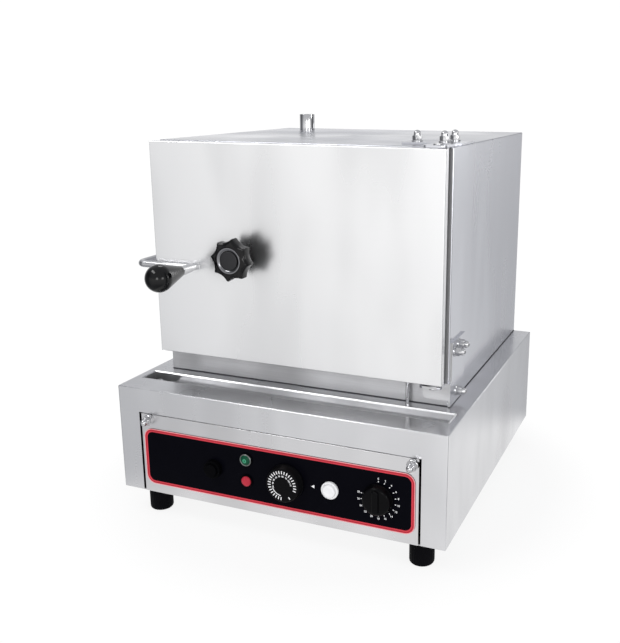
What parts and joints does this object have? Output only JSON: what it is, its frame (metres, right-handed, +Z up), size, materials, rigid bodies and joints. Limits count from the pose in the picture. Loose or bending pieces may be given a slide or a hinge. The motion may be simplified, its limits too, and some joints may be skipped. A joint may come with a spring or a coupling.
{
  "type": "electric idli steamer",
  "caption": "Countertop steaming cabinet on a control base: side-hung door with a seal clamp knob and a rod latch, idli trays over a heated water tank, dial, timer and push buttons.",
  "frame": {"origin": "middle of the footprint on the surface that the feet stand on", "axes": "+Z up, -Y to the front with the door and the controls, +X to the hinge side"},
  "size_m": [0.48, 0.543, 0.55],
  "materials": {
    "brushed_sheet": "brushed stainless sheet",
    "bright_steel": "polished stainless",
    "plain_steel": "plain stainless",
    "black_rubber": "black moulded rubber",
    "overlay_print": "black printed film with a red border",
    "dark_plastic": "dark moulded plastic",
    "copper_tube": "copper",
    "black_plastic": "glossy black thermoset",
    "green_lens": "green lamp lens",
    "red_lens": "red lamp lens",
    "white_plastic": "white plastic",
    "ivory_plastic": "ivory plastic",
    "mineral_wool": "insulation wool",
    "heater_sheath": "heater sheath",
    "brass_fitting": "brass",
    "silicone": "grey silicone"
  },
  "bodies": {
    "frame": {"base_shell": "brushed_sheet", "drip_trough": "brushed_sheet", "control_panel": "brushed_sheet", "cabinet_shell": "brushed_sheet", "chamber": "brushed_sheet", "water_tank": "brushed_sheet", "tray_rack_left": "brushed_sheet", "tray_rack_right": "brushed_sheet", "idli_tray_1": "brushed_sheet", "idli_tray_2": "brushed_sheet", "idli_tray_3": "brushed_sheet", "hinge_plate_top": "brushed_sheet", "hinge_bracket_bottom": "brushed_sheet", "latch_keeper": "brushed_sheet", "trough_drain": "bright_steel", "studs": "bright_steel", "washers": "bright_steel", "dome_nuts": "bright_steel", "lamp_bezels": "bright_steel", "vent_pipe": "bright_steel", "overflow_tube": "bright_steel", "hinge_pins": "bright_steel", "foot_screws": "bright_steel", "drain_pipe": "bright_steel", "drain_cap": "bright_steel", "bottom_plate": "plain_steel", "panel_brackets": "plain_steel", "feet": "black_rubber", "panel_overlay": "overlay_print", "thermostat_body": "dark_plastic", "limiter_body": "dark_plastic", "switch_body": "dark_plastic", "timer_body": "dark_plastic", "sensor_bulbs": "copper_tube", "reset_collar": "black_plastic", "green_lamp": "green_lens", "red_lamp": "red_lens", "button_bezel": "white_plastic", "terminal_block": "ivory_plastic", "cable_gland": "dark_plastic", "insulation": "mineral_wool", "heating_element": "heater_sheath", "element_glands": "brass_fitting", "hinge_washer": "brass_fitting"},
    "door": {"door_shell": "brushed_sheet", "hinge_blocks": "plain_steel", "clamp_boss": "plain_steel", "latch_bush": "bright_steel", "guide_pins": "bright_steel"},
    "seal": {"seal_plate": "brushed_sheet", "door_gasket": "silicone"},
    "clamp": {"star_knob": "black_plastic", "clamp_screw": "bright_steel", "screw_retainer": "bright_steel"},
    "latch": {"latch_rod": "bright_steel", "latch_grip": "black_plastic"},
    "thermostat_dial": {"thermostat_knob": "black_plastic"},
    "timer_dial": {"timer_knob": "black_plastic"},
    "start_button": {"push_button": "white_plastic"},
    "reset": {"reset_button": "black_plastic"}
  },
  "joints": [
    {"name": "door_swing", "type": "hinge", "parent": "frame", "child": "door", "pos_m": [0.196, -0.1645, 0.3745], "axis": [0, 0, 1], "range_deg": [0, 115]},
    {"name": "seal_draw", "type": "slide", "parent": "door", "child": "seal", "axis": [0, -1, 0], "range_m": [0, 0.0035]},
    {"name": "clamp_turn", "type": "hinge", "parent": "seal", "child": "clamp", "pos_m": [-0.071, -0.19, 0.3745], "axis": [0, -1, 0], "range_deg": [0, 720]},
    {"name": "latch_turn", "type": "hinge", "parent": "door", "child": "latch", "pos_m": [-0.15, -0.19, 0.3535], "axis": [0, 1, 0], "range_deg": [-12, 32]},
    {"name": "thermostat_turn", "type": "hinge", "parent": "frame", "child": "thermostat_dial", "pos_m": [0.022, -0.25, 0.09287], "axis": [0, 1, 0], "range_deg": [0, 270]},
    {"name": "timer_turn", "type": "hinge", "parent": "frame", "child": "timer_dial", "pos_m": [0.151, -0.25, 0.09287], "axis": [0, 1, 0], "range_deg": [0, 300]},
    {"name": "start_press", "type": "slide", "parent": "frame", "child": "start_button", "axis": [0, 1, 0], "range_m": [0, 0.003], "stiffness_N_per_m": 400, "springref_m": -0.001},
    {"name": "reset_press", "type": "slide", "parent": "frame", "child": "reset", "axis": [0, 1, 0], "range_m": [0, 0.003], "stiffness_N_per_m": 400, "springref_m": -0.001}
  ],
  "couplings": [
    {"joint": "clamp_turn", "follows": "seal_draw", "rad_per_m": 3590.4}
  ]
}
